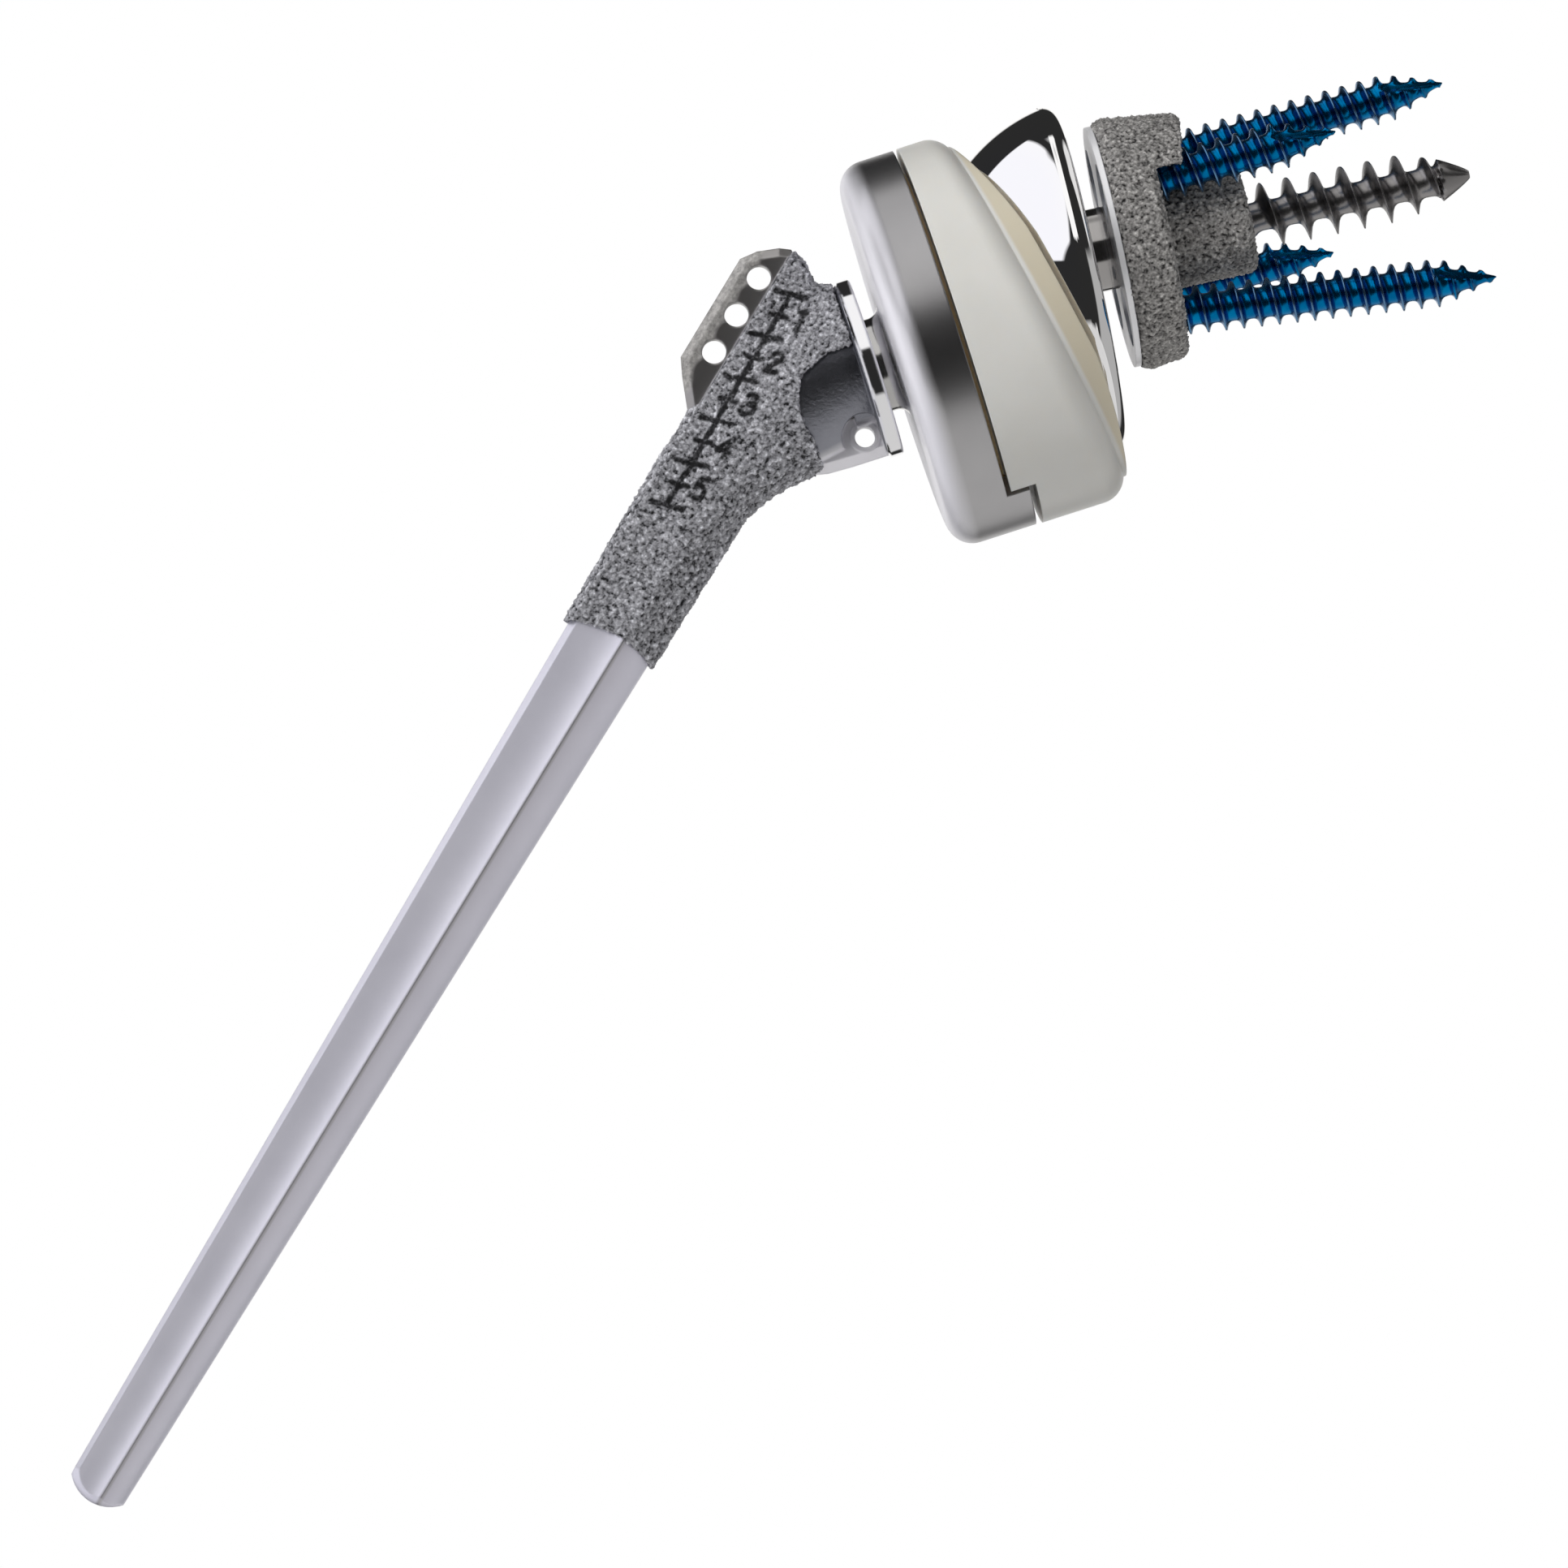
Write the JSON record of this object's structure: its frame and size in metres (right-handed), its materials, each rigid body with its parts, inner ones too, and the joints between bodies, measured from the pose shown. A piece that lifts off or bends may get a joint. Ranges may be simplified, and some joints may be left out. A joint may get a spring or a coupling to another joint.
{
  "type": "reverse shoulder prosthesis",
  "caption": "Reverse shoulder implant: coated fluted humeral stem with tray and liner, polished head, augmented baseplate and bone screws.",
  "frame": {"origin": "where the stem's axis crosses the axis of the neck, inside the proximal body", "axes": "+Z along the stem towards the shoulder, +X towards the middle of the body, -Y to the viewer"},
  "size_m": [0.0648, 0.0394, 0.1894],
  "materials": {
    "stem": "satin blasted titanium alloy, bright machined collar",
    "stem_coating": "porous sprayed titanium, coarse grain",
    "tray": "satin titanium alloy",
    "locking_ring": "plain drawn wire",
    "liner": "cream polyethylene, machined",
    "glenosphere": "mirror polished cobalt chrome",
    "taper_adaptor": "polished cobalt chrome",
    "baseplate": "fine turned titanium alloy",
    "baseplate_coating": "porous sprayed titanium, coarse grain",
    "central_screw": "grey satin titanium alloy",
    "locking_screw": "deep blue anodised titanium alloy"
  },
  "bodies": {
    "humeral": {"stem": "stem", "stem_coating": "stem_coating", "tray": "tray", "locking_ring": "locking_ring", "liner": "liner"},
    "head": {"glenosphere": "glenosphere"},
    "glenoid": {"taper_adaptor": "taper_adaptor", "baseplate": "baseplate", "baseplate_coating": "baseplate_coating", "central_screw": "central_screw", "screw_superior": "locking_screw", "screw_anterior": "locking_screw", "screw_inferior": "locking_screw", "screw_posterior": "locking_screw"}
  },
  "joints": [
    {"name": "abduction", "type": "hinge", "parent": "humeral", "child": "head", "pos_m": [0.02311, 0, 0.0292], "axis": [0, 1, 0], "range_deg": [-35, 45]},
    {"name": "flexion", "type": "hinge", "parent": "head", "child": "glenoid", "pos_m": [0.02311, 0, 0.0292], "axis": [0.7266, 0, 0.6871], "range_deg": [-45, 120]}
  ]
}
